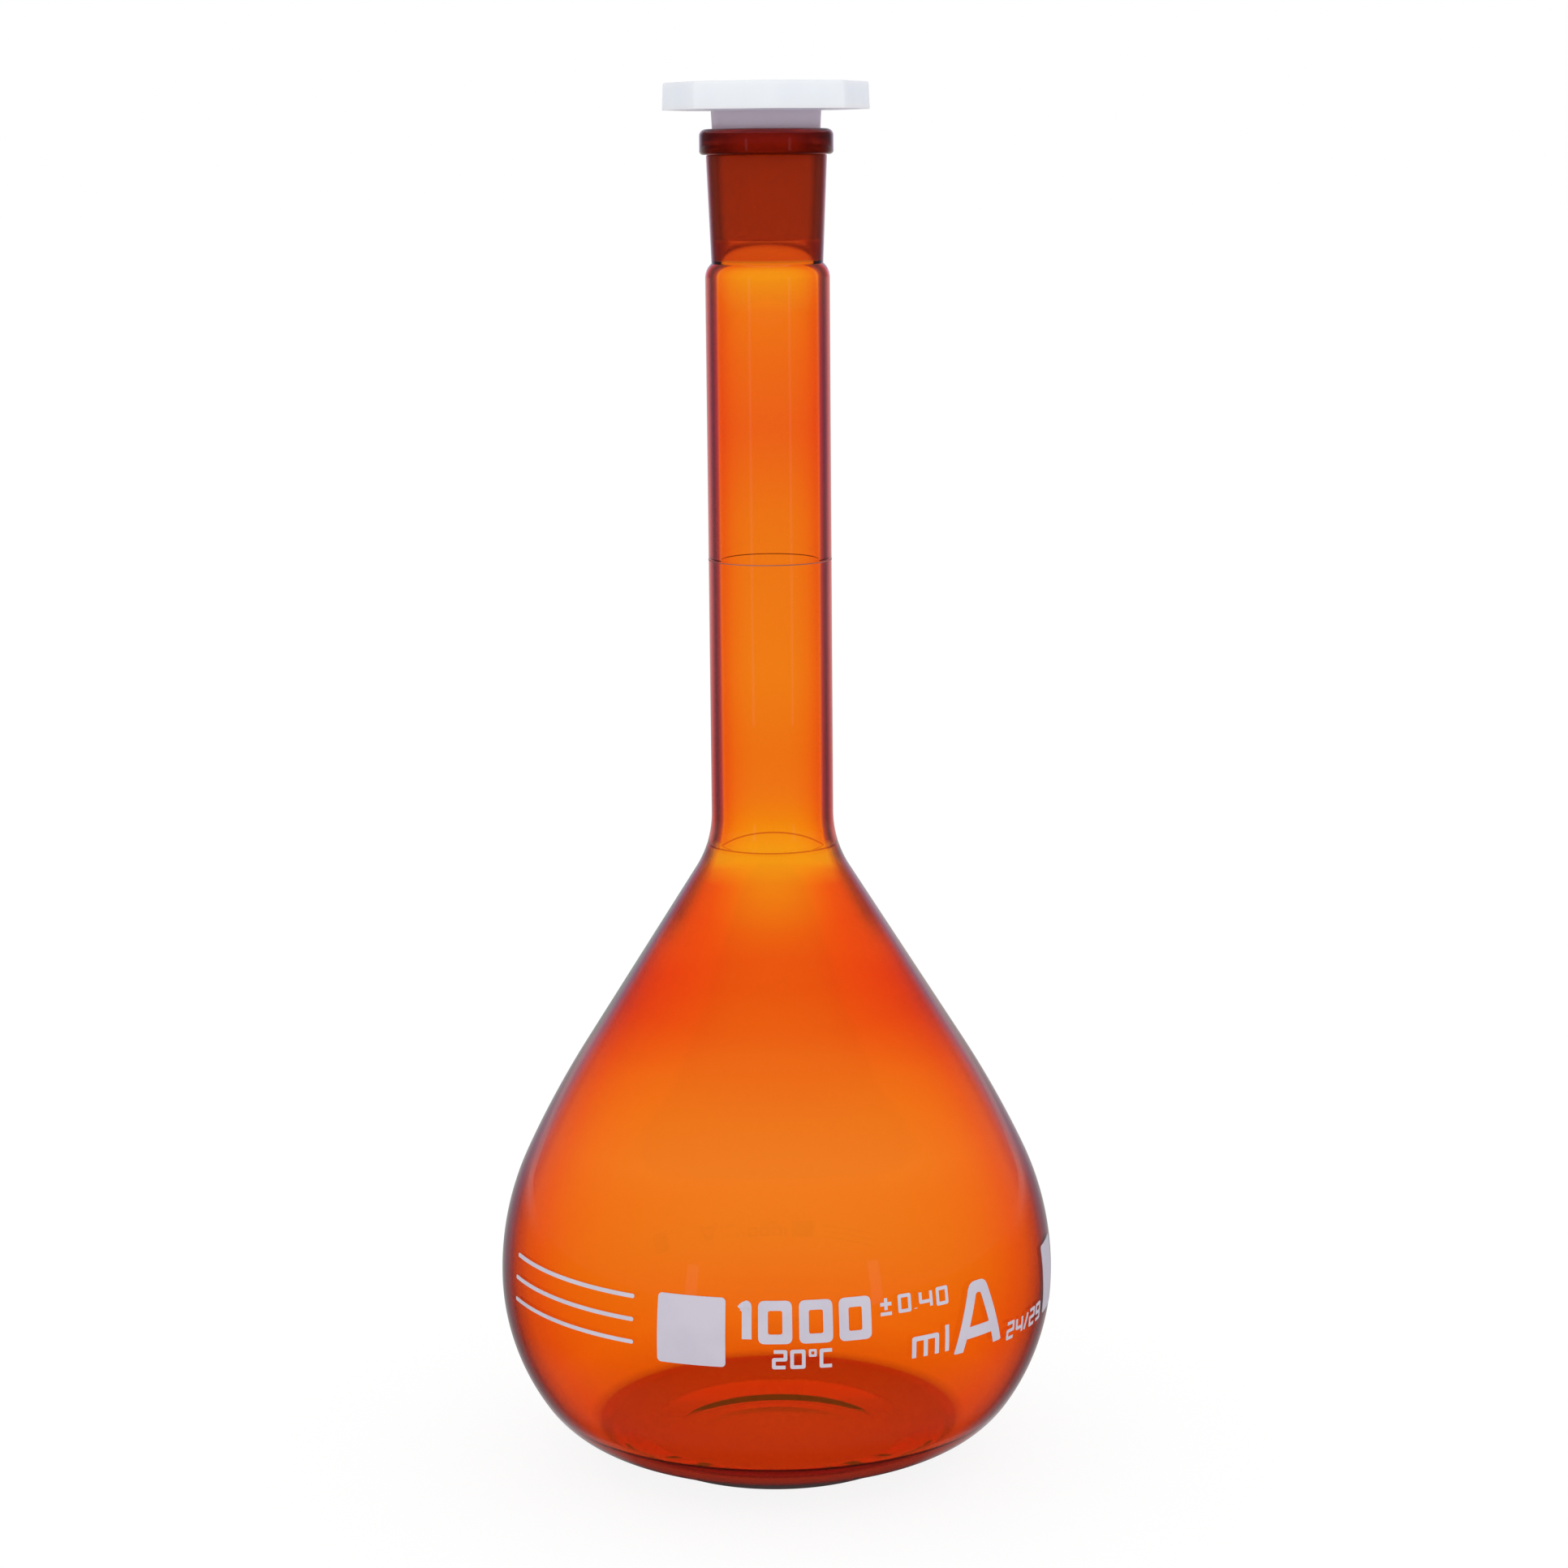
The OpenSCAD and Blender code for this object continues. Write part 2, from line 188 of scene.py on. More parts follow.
def makeAmberGlass(look, coneTop, coneFoot, seamLevel):
    material, tree = newMaterial("amber_borosilicate_glass")
    place = addNode(tree, "ShaderNodeTexCoord")
    axes = addNode(tree, "ShaderNodeSeparateXYZ", {0: place.outputs["Object"]})
    # the tint by height is the glass's own amber with painted light and shade in it
    high = addNode(tree, "ShaderNodeMath", {0: axes.outputs["Z"], 1: coneTop}, operation="DIVIDE")
    tint = addNode(tree, "ShaderNodeValToRGB", {0: high.outputs[0]})
    fillRamp(tint, [(h * mm / coneTop, c) for h, c in look["tintsAndPaintedLight"]])
    # painted shade and painted reflection: the wall darkens where it turns away, sooner on the thick
    # neck than on the thin bulb
    facing = addNode(tree, "ShaderNodeLayerWeight", {"Blend": 0.5})
    edge = None
    for start, fade, stops in look["edges"]:
        ramp = addNode(tree, "ShaderNodeValToRGB", {0: facing.outputs["Facing"]})
        fillRamp(ramp, stops)
        if edge is None:
            edge = ramp.outputs[0]
            continue
        above = addNode(tree, "ShaderNodeMapRange", {
            "Value": axes.outputs["Z"],
            "From Min": (start - fade) * mm, "From Max": (start + fade) * mm})
        edge = addNode(tree, "ShaderNodeMix", {
            0: above.outputs[0], 6: edge, 7: ramp.outputs[0]}, data_type="RGBA").outputs[2]
    # the weld at the foot of the neck has a real groove, and along it a thin dark line of painted shade
    seam = addNode(tree, "ShaderNodeMath", {
        0: axes.outputs["Z"], 1: seamLevel, 2: look["seamHalf"]}, operation="COMPARE")
    edge = addNode(tree, "ShaderNodeMix", {
        0: seam.outputs[0], 6: edge, 7: toLinear(look["paintedSeamShade"])}, data_type="RGBA",
        blend_type="MULTIPLY").outputs[2]
    inner = addNode(tree, "ShaderNodeAttribute", attribute_name="inner")
    outerEdge = addNode(tree, "ShaderNodeMix", {
        0: inner.outputs["Fac"], 6: edge, 7: toLinear("#ffffff")}, data_type="RGBA")
    wall = addNode(tree, "ShaderNodeMix", {
        0: 1.0, 6: tint.outputs[0], 7: outerEdge.outputs[2]}, data_type="RGBA", blend_type="MULTIPLY")
    # only the inner cone of the joint is ground, and there the outer face carries the whole tint
    inCone = addNode(tree, "ShaderNodeMath", {
        0: axes.outputs["Z"], 1: coneFoot}, operation="GREATER_THAN")
    ground = addNode(tree, "ShaderNodeMath", {
        0: inner.outputs["Fac"], 1: inCone.outputs[0]}, operation="MULTIPLY")
    glass = addNode(tree, "ShaderNodeMix", {
        0: ground.outputs[0], 6: wall.outputs[2], 7: toLinear(look["groundColour"])}, data_type="RGBA")
    clear = addNode(tree, "ShaderNodeMapRange", {
        "Value": ground.outputs[0], "To Min": 1.0, "To Max": look["groundClear"]})
    rough = addNode(tree, "ShaderNodeMapRange", {
        "Value": ground.outputs[0],
        "To Min": look["clearRoughness"], "To Max": look["groundRoughness"]})
    wave = addNode(tree, "ShaderNodeTexNoise", {
        "Vector": place.outputs["Object"], "Scale": 1 / look["waveSize"], "Detail": 1.0})
    bump = addNode(tree, "ShaderNodeBump", {
        "Height": wave.outputs[0], "Strength": 1.0, "Distance": look["waveHeight"]})
    surface = addNode(tree, "ShaderNodeBsdfPrincipled", {
        "Base Color": glass.outputs[2], "Roughness": rough.outputs[0], "IOR": look["ior"],
        "Transmission Weight": clear.outputs[0], "Specular Tint": toLinear(look["sheen"]),
        "Normal": bump.outputs[0]})
    bulk = addNode(tree, "ShaderNodeVolumeAbsorption", {
        "Color": toLinear(look["absorbed"]), "Density": look["density"]})
    addNode(tree, "ShaderNodeOutputMaterial", {
        "Surface": surface.outputs[0], "Volume": bulk.outputs[0]})
    return material


# The glass, from the push-up under the base round to the floor inside
bulb = {
    "wall": 1.55 * mm,
    "equator": 42.4 * mm,
    "bellyRadius": 65 * mm, "bellySpan": 25,
    "shoulderRadius": 225 * mm, "coneAngle": 32.3,
    "lowerRadius": 50.5 * mm, "lowerSpan": 34,
    "heelRadius": 23.5 * mm, "heelEnd": 72, "floorStart": 84,
    "ringRadius": 31.6 * mm, "ringWidth": 2 * mm, "ringEdge": 0.6 * mm,
    "punt": 2.6 * mm, "baseWall": 3.4 * mm,
    "arcSteps": 24, "shoulderSteps": 16,
}
neck = {
    "radius": 13.7 * mm, "wall": 2.7 * mm,
    "flare": 24 * mm, "innerFlare": 16 * mm,
    "topRadius": 4 * mm, "boreStep": 5 * mm,
    # the groove left by the weld with the bulb, and how far it lies above the cut between the two
    "seamWidth": 0.6 * mm, "seamDepth": 0.1 * mm, "seamRise": 1.2 * mm,
    "arcSteps": 12, "innerSteps": 20,
}
socket = {
    "coneRadius": 12 * mm, "taper": 0.05,
    "outerRadius": 13.25 * mm, "footRadius": 12.3 * mm,
    "collarRadius": 14.7 * mm, "collarHeight": 5.6 * mm,
    "collarFoot": 0.9 * mm, "collarTop": 1.5 * mm,
    "shoulder": 0.35 * mm, "mouthBevel": 0.35 * mm,
    "shoulderSteps": 5, "footSteps": 8, "topSteps": 12,
}
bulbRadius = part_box("bulb")[1].x
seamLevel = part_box("neck_tube")[0].z + neck["seamRise"]
socketFoot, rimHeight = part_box("joint_socket")[0].z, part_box("joint_socket")[1].z


def polar(centre, radius, degrees):
    turn = math.radians(degrees)
    return centre[0] + radius * math.cos(turn), centre[1] + radius * math.sin(turn)


bellyCentre = (bulbRadius - bulb["bellyRadius"], bulb["equator"])
shoulderCentre = polar(bellyCentre, bulb["bellyRadius"] - bulb["shoulderRadius"], bulb["bellySpan"])
lowerCentre = (bulbRadius - bulb["lowerRadius"], bulb["equator"])
heelCentre = polar(lowerCentre, bulb["lowerRadius"] - bulb["heelRadius"], -bulb["lowerSpan"])


def flareTop(radius, flare, depth):
    # where a neck of that radius starts to flare, for a wall that lies depth inside the outer face
    angle = math.radians(bulb["coneAngle"])
    edge = polar(shoulderCentre, bulb["shoulderRadius"] - depth, bulb["coneAngle"])
    touch = radius + flare * (1 - math.cos(angle))
    return edge[1] + (edge[0] - touch) / math.tan(angle) + flare * math.sin(angle)


def glassRadius(z):
    # outer radius of the bulb at a height near its widest circle
    up = z > bulb["equator"]
    radius = bulb["bellyRadius"] if up else bulb["lowerRadius"]
    return bulbRadius - radius + math.sqrt(radius ** 2 - (z - bulb["equator"]) ** 2)


def makeFlask(material):
    bore = neck["radius"] - neck["wall"]
    coneFoot = socket["coneRadius"] - (rimHeight - socketFoot) * socket["taper"]
    ringInner = bulb["ringRadius"] - bulb["ringWidth"]
    puntRadius = (ringInner ** 2 + bulb["punt"] ** 2) / (2 * bulb["punt"])
    puntSpan = math.degrees(math.asin(ringInner / puntRadius))
    bm = bmesh.new()
    innerMark = bm.verts.layers.float.new("inner")      # tells the material which wall it is on
    tip = bmesh.ops.create_vert(bm, co=(0, 0, bulb["punt"]))["vert"][0]
    # underside, standing ring and heel
    tip = arcTo(bm, tip, (0, bulb["punt"] - puntRadius), -puntSpan, bulb["arcSteps"])
    tip = lineTo(bm, tip, ringInner + bulb["ringEdge"], 0)
    tip = lineTo(bm, tip, bulb["ringRadius"], 0)
    tip = lineTo(bm, tip, *polar(heelCentre, bulb["heelRadius"], -bulb["heelEnd"]))
    tip = arcTo(bm, tip, heelCentre, bulb["heelEnd"] - bulb["lowerSpan"], bulb["arcSteps"])
    tip = arcTo(bm, tip, lowerCentre, bulb["lowerSpan"], bulb["arcSteps"])
    tip = arcTo(bm, tip, bellyCentre, bulb["bellySpan"], bulb["arcSteps"])
    tip = arcTo(bm, tip, shoulderCentre, bulb["coneAngle"] - bulb["bellySpan"], bulb["shoulderSteps"])
    # the straight cone, the flare and the neck
    top = flareTop(neck["radius"], neck["flare"], 0)
    flareCentre = (neck["radius"] + neck["flare"], top)
    tip = lineTo(bm, tip, *polar(flareCentre, neck["flare"], 180 + bulb["coneAngle"]))
    weld = math.degrees(math.asin((top - seamLevel) / neck["flare"]))
    seam = math.degrees(neck["seamWidth"] / 2 / neck["flare"])
    tip = arcTo(bm, tip, flareCentre, weld + seam - bulb["coneAngle"], neck["arcSteps"])
    tip = lineTo(bm, tip, *polar(flareCentre, neck["flare"] + neck["seamDepth"], 180 + weld))
    tip = lineTo(bm, tip, *polar(flareCentre, neck["flare"], 180 + weld - seam))
    tip = arcTo(bm, tip, flareCentre, seam - weld, neck["arcSteps"])
    crown = neck["radius"] - neck["topRadius"]
    span = math.degrees(math.acos((socket["footRadius"] - crown) / neck["topRadius"]))
    crownCentre = (crown, socketFoot - neck["topRadius"] * math.sin(math.radians(span)))
    tip = lineTo(bm, tip, neck["radius"], crownCentre[1])
    tip = arcTo(bm, tip, crownCentre, span, neck["arcSteps"])
    # socket, collar and mouth
    collarFoot = rimHeight - socket["collarHeight"]
    shoulder, foot, crest = socket["shoulder"], socket["collarFoot"], socket["collarTop"]
    tip = lineTo(bm, tip, socket["outerRadius"], collarFoot - shoulder)
    tip = arcTo(bm, tip, (socket["outerRadius"] - shoulder, collarFoot - shoulder), 90,
                socket["shoulderSteps"])
    tip = lineTo(bm, tip, socket["collarRadius"] - foot, collarFoot)
    tip = arcTo(bm, tip, (socket["collarRadius"] - foot, collarFoot + foot), 90, socket["footSteps"])
    tip = lineTo(bm, tip, socket["collarRadius"], rimHeight - crest)
    tip = arcTo(bm, tip, (socket["collarRadius"] - crest, rimHeight - crest), 90, socket["topSteps"])
    mouth = socket["mouthBevel"]
    tip = lineTo(bm, tip, socket["coneRadius"] + mouth, rimHeight)
    outerVerts = bm.verts[:]
    tip = lineTo(bm, tip, socket["coneRadius"] - mouth * socket["taper"], rimHeight - mouth)
    # ground cone, bore, inner flare and the inside of the bulb
    tip = lineTo(bm, tip, coneFoot, socketFoot)
    tip = lineTo(bm, tip, bore, socketFoot - neck["boreStep"])
    innerTop = flareTop(bore, neck["innerFlare"], bulb["wall"])
    innerCentre = (bore + neck["innerFlare"], innerTop)
    tip = lineTo(bm, tip, bore, innerTop)
    tip = arcTo(bm, tip, innerCentre, bulb["coneAngle"], neck["innerSteps"])
    innerRadius = bulb["shoulderRadius"] - bulb["wall"]
    tip = lineTo(bm, tip, *polar(shoulderCentre, innerRadius, bulb["coneAngle"]))
    tip = arcTo(bm, tip, shoulderCentre, bulb["bellySpan"] - bulb["coneAngle"], bulb["shoulderSteps"])
    tip = arcTo(bm, tip, bellyCentre, -bulb["bellySpan"], bulb["arcSteps"])
    tip = arcTo(bm, tip, lowerCentre, -bulb["lowerSpan"], bulb["arcSteps"])
    tip = arcTo(bm, tip, heelCentre, bulb["lowerSpan"] - bulb["floorStart"], bulb["arcSteps"])
    tip = lineTo(bm, tip, 0, bulb["punt"] + bulb["baseWall"])
    for v in set(bm.verts) - set(outerVerts):
        v[innerMark] = 1
    revolve(bm, roundSteps)
    return newPiece("flask_glass", bm, material, "amber_glass", "flask",
                    "bulb", "neck_tube", "joint_socket")


glass = makeAmberGlass(amberGlass, rimHeight, socketFoot, seamLevel)
flask = makeFlask(glass)
print("glass blown:", len(flask.data.polygons), "faces")

# White polyethylene, injection moulded: waxy, a little see-through, with a soft gloss
polyethylene = {
    "colour": "#eff3fc", "shade": "#eaeef7", "ior": 1.51,
    "plug": "#ccc0d0",      # painted shade: the plug below the head is greyer and darker, for the head's shade and the dark socket round it; its thin wall also lets more light through than the head
    "plugShadeFade": (0.2 * mm, -0.4 * mm),      # where the painted shade sets in, from the underside of the head
    "roughness": 0.38, "roughSpread": (-0.06, 0.08),
    "grain": 0.9 * mm, "grainHeight": 0.01 * mm, "grainStrength": 0.6,
    "cloudSize": 14 * mm, "cloudStops": (0.35, 0.65),
    "depth": 0.6, "depthReach": (3.5 * mm, 3.5 * mm, 3.8 * mm),     # light that goes in and comes out
}


def makePolyethylene(look, headFoot):
    material, tree = newMaterial("moulded_polyethylene")
    place = addNode(tree, "ShaderNodeTexCoord")
    cloud = addNode(tree, "ShaderNodeTexNoise", {
        "Vector": place.outputs["Object"], "Scale": 1 / look["cloudSize"], "Detail": 2.0})
    tint = addNode(tree, "ShaderNodeValToRGB", {0: cloud.outputs[0]})
    fillRamp(tint, zip(look["cloudStops"], (look["shade"], look["colour"])))
    axes = addNode(tree, "ShaderNodeSeparateXYZ", {0: place.outputs["Object"]})
    # painted shade on the plug below the head
    plugShade = addNode(tree, "ShaderNodeMapRange", {
        "Value": axes.outputs["Z"],
        "From Min": headFoot + look["plugShadeFade"][0], "From Max": headFoot + look["plugShadeFade"][1]})
    colour = addNode(tree, "ShaderNodeMix", {
        0: plugShade.outputs[0], 6: tint.outputs[0], 7: toLinear(look["plug"])}, data_type="RGBA")
    grain = addNode(tree, "ShaderNodeTexNoise", {
        "Vector": place.outputs["Object"], "Scale": 1 / look["grain"], "Detail": 3.0})
    rough, bump = addGrain(tree, look, grain)
    surface = addNode(tree, "ShaderNodeBsdfPrincipled", {
        "Base Color": colour.outputs[2], "Roughness": rough.outputs[0], "IOR": look["ior"],
        "Subsurface Weight": look["depth"], "Subsurface Radius": look["depthReach"],
        "Subsurface Scale": 1.0, "Normal": bump.outputs[0]})
    addNode(tree, "ShaderNodeOutputMaterial", {"Surface": surface.outputs[0]})
    return material


stopper = {
    "headRadius": 22.8 * mm, "headHeight": 5.9 * mm, "turn": 2.7, "sides": 8,
    "draft": 0.25 * mm, "edge": 0.55 * mm, "edgeSteps": 3,
    "dishRadius": 15.5 * mm, "dishDepth": 0.6 * mm, "gateRadius": 1.5 * mm, "gateHeight": 0.3 * mm,
    "plugGap": 0.15 * mm, "plugWall": 1.6 * mm, "roof": 2.2 * mm,
    "footEdge": 0.4 * mm, "steps": 128,
}
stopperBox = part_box("stopper")


def makeStopper(material):
    plugFoot, headTop = stopperBox[0].z, stopperBox[1].z
    headFoot = headTop - stopper["headHeight"]

    def plugRadius(z):
        return socket["coneRadius"] - (rimHeight - z) * socket["taper"] - stopper["plugGap"]

    hollow = plugRadius(plugFoot) - stopper["plugWall"]
    rim, dish, edge = stopper["headRadius"], stopper["dishRadius"], stopper["footEdge"]
    bm = bmesh.new()
    tip = bmesh.ops.create_vert(bm, co=(0, 0, headTop - stopper["roof"]))["vert"][0]
    tip = lineTo(bm, tip, hollow, headTop - stopper["roof"])
    tip = lineTo(bm, tip, hollow, plugFoot)
    tip = lineTo(bm, tip, plugRadius(plugFoot) - edge, plugFoot)
    tip = lineTo(bm, tip, plugRadius(plugFoot + edge), plugFoot + edge)
    tip = lineTo(bm, tip, plugRadius(headFoot), headFoot)
    tip = lineTo(bm, tip, rim, headFoot)
    tip = lineTo(bm, tip, rim - stopper["draft"], headTop)
    tip = lineTo(bm, tip, dish, headTop)
    tip = lineTo(bm, tip, dish - stopper["dishDepth"], headTop - stopper["dishDepth"])
    tip = lineTo(bm, tip, stopper["gateRadius"], headTop - stopper["dishDepth"])
    tip = lineTo(bm, tip, stopper["gateRadius"], headTop - stopper["dishDepth"] + stopper["gateHeight"])
    tip = lineTo(bm, tip, 0, headTop - stopper["dishDepth"] + stopper["gateHeight"])
    revolve(bm, stopper["steps"])
    # the round rim of the head is drawn in to an octagon, and then its edges are rounded
    half, pastDish = math.pi / stopper["sides"], dish + mm
    for v in bm.verts:
        if math.hypot(v.co.x, v.co.y) > pastDish:
            turn = math.atan2(v.co.y, v.co.x) % (2 * half)
            share = math.cos(half) / math.cos(turn - half)
            v.co.x *= share
            v.co.y *= share
    rimEdges, slack = [], 0.01 * mm
    for e in bm.edges:
        reaches = [math.hypot(v.co.x, v.co.y) for v in e.verts]
        corner = all(abs(reach - rim) < stopper["draft"] + slack for reach in reaches)
        upright = abs(e.verts[0].co.z - e.verts[1].co.z) > mm
        onTop = e.verts[0].co.z > headTop - slack
        if min(reaches) > pastDish and (corner if upright else onTop):
            rimEdges.append(e)
    bmesh.ops.bevel(bm, geom=rimEdges, offset=stopper["edge"], offset_type="OFFSET", affect="EDGES",
                    segments=stopper["edgeSteps"], profile=0.5, material=-1, clamp_overlap=True)
    bmesh.ops.rotate(bm, verts=bm.verts[:], cent=(0, 0, 0),
                     matrix=Matrix.Rotation(math.radians(stopper["turn"]), 3, "Z"))
    piece = newPiece("octagonal_stopper", bm, material, "polyethylene", "plug", "stopper")
    piece.data.set_sharp_from_angle(angle=sharpAngle)
    return piece


cap = makeStopper(makePolyethylene(polyethylene, stopperBox[1].z - stopper["headHeight"]))
print("stopper moulded:", len(cap.data.polygons), "faces")

# White enamel, screen printed and fired on: satin, with a faint grain and thin spots
enamel = {
    "colour": "#d3cddb", "thin": "#cec8d7", "ior": 1.52,
    "roughness": 0.34, "roughSpread": (-0.05, 0.1),
    "grain": 0.35 * mm, "grainHeight": 0.006 * mm, "grainStrength": 0.5,
    "patchSize": 9 * mm, "patchStops": (0.38, 0.58),
    "front": 0.07 * mm, "back": -0.03 * mm,     # it is sunk a little into the glass
}


def makeEnamel(name, look):
    material, tree = newMaterial(name)
    place = addNode(tree, "ShaderNodeTexCoord")
    patches = addNode(tree, "ShaderNodeTexNoise", {
        "Vector": place.outputs["Object"], "Scale": 1 / look["patchSize"], "Detail": 4.0})
    tint = addNode(tree, "ShaderNodeValToRGB", {0: patches.outputs[0]})
    fillRamp(tint, zip(look["patchStops"], (look["thin"], look["colour"])))
    grain = addNode(tree, "ShaderNodeTexNoise", {
        "Vector": place.outputs["Object"], "Scale": 1 / look["grain"], "Detail": 2.0})
    rough, bump = addGrain(tree, look, grain)
    surface = addNode(tree, "ShaderNodeBsdfPrincipled", {
        "Base Color": tint.outputs[0], "Roughness": rough.outputs[0], "IOR": look["ior"],
        "Normal": bump.outputs[0]})
    addNode(tree, "ShaderNodeOutputMaterial", {"Surface": surface.outputs[0]})
    return material


whiteEnamel = makeEnamel("fired_white_enamel", enamel)

# Centre lines of the signs, in a box one wide and one high; a "loop" closes on itself
signs = {
    "0": [("loop", (0, 0), (1, 0), (1, 1), (0, 1))],
    "1": [("line", (-0.45, 0.88), (0.3, 1), (1, 1), (1, 0))],
    "2": [("line", (0, 1), (1, 1), (1, 0.5), (0, 0.5), (0, 0), (1, 0))],
    "4": [("line", (0, 1), (0, 0.36), (1, 0.36)), ("line", (1, 1), (1, 0))],
    "9": [("loop", (0, 0.45), (1, 0.45), (1, 1), (0, 1)), ("line", (1, 0.6), (1, 0), (0, 0))],
    "A": [("line", (-0.04, -0.12), (0.36, 1), (0.64, 1), (1.04, -0.12)),
          ("line", (0.14, 0.22), (0.86, 0.22))],
    "C": [("line", (1, 1), (0, 1), (0, 0), (1, 0))],
    "m": [("line", (0, 0), (0, 1), (1, 1), (1, 0)), ("line", (0.5, 1), (0.5, 0))],
    "l": [("line", (0, 0), (0, 1))],
    "+-": [("line", (0, 0.62), (1, 0.62)), ("line", (0.5, 1), (0.5, 0.24)), ("line", (0, 0), (1, 0))],
    "/": [("line", (0, 0), (1, 1))],
}
corners = {"outside": 0.68, "inside": 0.24, "steps": 5}     # reach of the rounding in bars
straight = 0.01             # a path that turns by less, in radians, has no corner
strokeStep = 0.006 * mm     # crossing strokes lie this much apart, so that no two faces coincide


def besidePath(points, closed, bar, side):
    # one edge of a bar that follows a path, with its corners rounded
    count = len(points)
    made = []
    for i, at in enumerate(points):
        before = points[i - 1] if closed or i else 2 * at - points[1]
        after = points[(i + 1) % count] if closed or i < count - 1 else 2 * at - before
        along, onward = (at - before).normalized(), (after - at).normalized()
        middle = (along + onward).normalized()
        corner = at + Vector((-middle.y, middle.x)) * (side * bar / 2 / middle.dot(along))
        turn = along.cross(onward)
        if abs(turn) < straight:
            made.append(corner)
            continue
        reach = bar * corners["inside" if turn * side > 0 else "outside"]
        for k in range(corners["steps"] + 1):
            t = k / corners["steps"]
            made.append(corner - along * reach * (1 - t) ** 2 + onward * reach * t ** 2)
    return made


def addStroke(bm, kind, points, bar, depth):
    # a flat bar in the XZ plane: both of its edges are drawn and the strip between them is filled
    closed = kind == "loop"
    rails = []
    for side in (1, -1):
        path = besidePath([Vector(p) for p in points], closed, bar, side)
        first = tip = bmesh.ops.create_vert(bm, co=(path[0].x, depth, path[0].y))["vert"][0]
        for place in path[1:]:
            made = bmesh.ops.extrude_vert_indiv(bm, verts=[tip])
            tip = made["verts"][0]
            tip.co = (place.x, depth, place.y)
            rails += made["edges"]
        if closed:
            rails.append(bm.edges.new((tip, first)))
    bmesh.ops.bridge_loops(bm, edges=rails)


def addSign(bm, sign, x, z, width, height, bar):
    # the outer size of the sign is width by height, and its bars are bar wide
    own = bmesh.new()
    low = bulb["equator"] + z
    for level, (kind, *points) in enumerate(signs[sign]):
        placed = [(x + bar / 2 + px * (width - bar), low + bar / 2 + pz * (height - bar))
                  for px, pz in points]
        addStroke(own, kind, placed, bar, level * strokeStep)
    for edge, up in ((low, -1), (low + height, 1)):
        bmesh.ops.bisect_plane(own, geom=own.verts[:] + own.edges[:] + own.faces[:], dist=cutReach,
                               plane_co=(0, 0, edge), plane_no=(0, 0, up), clear_outer=True)
    mesh = bpy.data.meshes.new("sign")
    own.to_mesh(mesh)
    own.free()
    bm.from_mesh(mesh)
    bpy.data.meshes.remove(mesh)


def wrapOnBulb(bm, front, back, step=1.5 * mm):
    # cuts the flat sign into small squares, gives it its thickness and bends it round the bulb
    for axis in (Vector((1, 0, 0)), Vector((0, 0, 1))):
        along = [v.co.dot(axis) for v in bm.verts]
        for k in range(math.floor(min(along) / step), math.ceil(max(along) / step) + 1):
            bmesh.ops.bisect_plane(bm, geom=bm.verts[:] + bm.edges[:] + bm.faces[:], dist=cutReach,
                                   plane_co=axis * (k * step), plane_no=axis)
    made = bmesh.ops.extrude_face_region(bm, geom=bm.faces[:])["geom"]
    bmesh.ops.translate(bm, vec=(0, back - front, 0),
                        verts=[v for v in made if isinstance(v, bmesh.types.BMVert)])
    for v in bm.verts:
        turn = v.co.x / bulbRadius
        reach = glassRadius(v.co.z) - v.co.y + back
        v.co = (reach * math.sin(turn), -reach * math.cos(turn), v.co.z)
    bmesh.ops.recalc_face_normals(bm, faces=bm.faces[:])


# Each print: sign, place of its lower left corner from the front of the widest circle, size and bar
prints = {
    "capacity_mark": [
        ("1", -8.2, 2.4, 2.9, 9.3, 2.1), ("0", -3.9, 2.4, 7.3, 9.3, 2.1),
        ("0", 4.9, 2.4, 7.3, 9.3, 2.1), ("0", 13.6, 2.4, 7.2, 9.3, 2.1)],
    "temperature_mark": [
        ("2", -1.0, -3.2, 3.3, 4.3, 0.8), ("0", 2.9, -3.2, 3.3, 4.3, 0.8),
        ("0", 6.9, -0.6, 1.7, 1.7, 0.5), ("C", 9.2, -3.2, 3.1, 4.3, 0.8)],
    "tolerance_mark": [
        ("+-", 22.6, 6.9, 3.4, 4.1, 0.75), ("0", 27.2, 7.0, 3.2, 4.0, 0.75),
        ("l", 31.1, 7.0, 0.75, 0.9, 0.75), ("4", 32.4, 7.0, 3.5, 4.0, 0.75),
        ("0", 36.9, 7.0, 3.2, 4.0, 0.75)],
    "unit_mark": [
        ("m", 30.3, -4.1, 6.9, 5.3, 1.05), ("l", 38.9, -4.1, 1.05, 7.0, 1.05)],
    "class_mark": [("A", 41.9, -5.0, 14.3, 15.2, 2.6)],
    "joint_size_mark": [
        ("2", 59.0, -6.2, 3.2, 4.2, 0.75), ("4", 63.0, -6.2, 3.3, 4.2, 0.75),
        ("/", 66.8, -6.2, 2.4, 4.2, 0.75), ("2", 69.8, -6.2, 3.2, 4.2, 0.75),
        ("9", 73.8, -6.2, 3.2, 4.2, 0.75)],
}


def firePrint(bm, node, material):
    wrapOnBulb(bm, enamel["front"], enamel["back"])
    newPiece(node + "_enamel", bm, material, "enamel", "flask", node)


def makePrints(material):
    for node, parts in prints.items():
        bm = bmesh.new()
        for sign, x, z, width, height, bar in parts:
            addSign(bm, sign, x * mm, z * mm, width * mm, height * mm, bar * mm)
        firePrint(bm, node, material)


# Plain areas: left, foot, width and height from the front of the widest circle, and corner radius
areas = {
    "writing_panel": [(-26.4, -2.95, 15.4, 15.1, 0.9)],
    "ruled_lines": [(-74.3, 5 * k, 42, 0.9, 0.4) for k in range(3)],
    "side_panel": [(79.5, -6, 11, 15.6, 0.9)],
}
cornerSteps = 5


